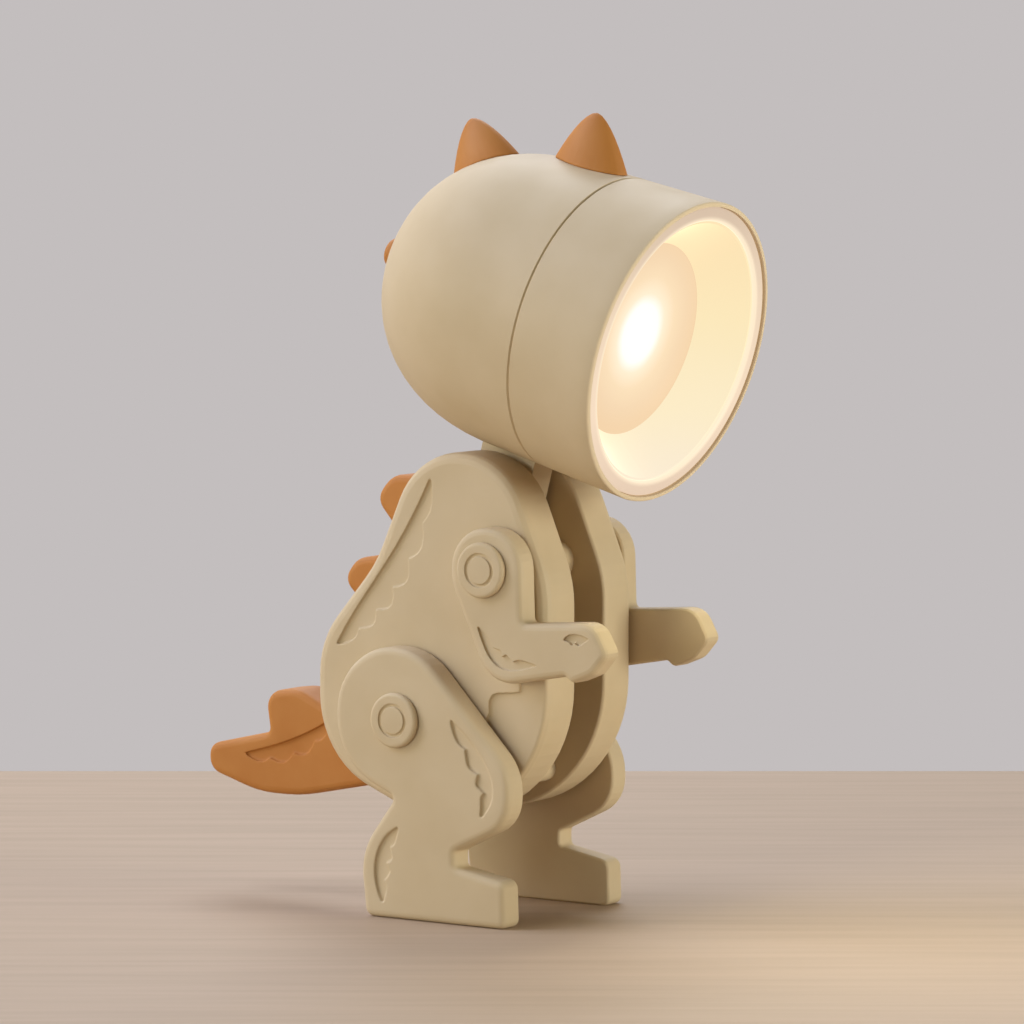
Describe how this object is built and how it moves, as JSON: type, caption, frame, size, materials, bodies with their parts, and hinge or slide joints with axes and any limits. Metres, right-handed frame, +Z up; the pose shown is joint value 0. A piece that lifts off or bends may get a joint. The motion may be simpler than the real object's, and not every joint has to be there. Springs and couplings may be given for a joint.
{
  "type": "posable mini desk lamp",
  "caption": "Free-standing posable mini lamp shaped like a dinosaur: round lamp head on a tilting neck, flat side plates, swinging arms and legs, push button at the back of the head.",
  "frame": {"origin": "on the standing plane under the soles, half way between tail tip and lamp rim, on the mid-plane", "axes": "+X the way the lamp looks, +Y to its left, +Z up"},
  "size_m": [0.0922, 0.0468, 0.1228],
  "materials": {
    "beige_abs": "fine matte moulded",
    "orange_abs": "fine matte moulded",
    "pearl_abs": "satin",
    "cream_reflector": "satin",
    "opal_diffuser": "opal",
    "led_resin": "cast",
    "board_laminate": "laminate",
    "grey_nylon": "moulded",
    "pin_steel": "ground",
    "cell_steel": "pressed",
    "contact_brass": "pressed",
    "wire_sleeve": "extruded"
  },
  "bodies": {
    "trunk": {"right_body_plate": "beige_abs", "left_body_plate": "beige_abs", "spine_strip": "orange_abs", "tail": "orange_abs", "core_dowels": "pin_steel", "belly_post": "beige_abs", "hip_spacer": "beige_abs", "shoulder_spacer": "beige_abs", "neck_pin": "pin_steel", "limb_washers": "grey_nylon", "right_hip_rivet": "beige_abs", "left_hip_rivet": "beige_abs", "right_shoulder_rivet": "beige_abs", "left_shoulder_rivet": "beige_abs"},
    "right_leg": {"right_leg": "beige_abs"},
    "left_leg": {"left_leg": "beige_abs"},
    "right_arm": {"right_arm": "beige_abs"},
    "left_arm": {"left_arm": "beige_abs"},
    "head": {"neck_link": "beige_abs", "neck_washers": "grey_nylon", "head_rear_shell": "beige_abs", "head_front_ring": "beige_abs", "front_crest_fin": "orange_abs", "rear_crest_fin": "orange_abs", "bezel_ring": "pearl_abs", "reflector_cup": "cream_reflector", "diffuser_disc": "opal_diffuser", "led_chip": "led_resin", "lamp_board": "board_laminate", "battery_carrier": "grey_nylon", "button_cells": "cell_steel", "front_contact": "contact_brass", "rear_contact": "contact_brass", "lead_wires": "wire_sleeve", "switch_body": "grey_nylon", "switch_terminals": "contact_brass"},
    "button": {"switch_plunger": "grey_nylon", "switch_button": "orange_abs"}
  },
  "joints": [
    {"name": "neck_tilt", "type": "hinge", "parent": "trunk", "child": "head", "pos_m": [0.0078, 0, 0.0591], "axis": [0, 1, 0], "range_deg": [-30, 20]},
    {"name": "right_leg_swing", "type": "hinge", "parent": "trunk", "child": "right_leg", "pos_m": [-0.0003, -0.01445, 0.0306], "axis": [0, 1, 0], "range_deg": [-15, 80]},
    {"name": "left_leg_swing", "type": "hinge", "parent": "trunk", "child": "left_leg", "pos_m": [-0.0003, 0.01445, 0.0306], "axis": [0, 1, 0], "range_deg": [-15, 80]},
    {"name": "right_arm_swing", "type": "hinge", "parent": "trunk", "child": "right_arm", "pos_m": [0.0155, -0.0143, 0.0543], "axis": [0, 1, 0], "range_deg": [-25, 15]},
    {"name": "left_arm_swing", "type": "hinge", "parent": "trunk", "child": "left_arm", "pos_m": [0.0155, 0.0143, 0.0543], "axis": [0, 1, 0], "range_deg": [-25, 15]},
    {"name": "button_press", "type": "slide", "parent": "head", "child": "button", "axis": [0.9659, 0, -0.2588], "range_m": [0, 0.0015], "stiffness_N_per_m": 800, "springref_m": -0.0008}
  ]
}
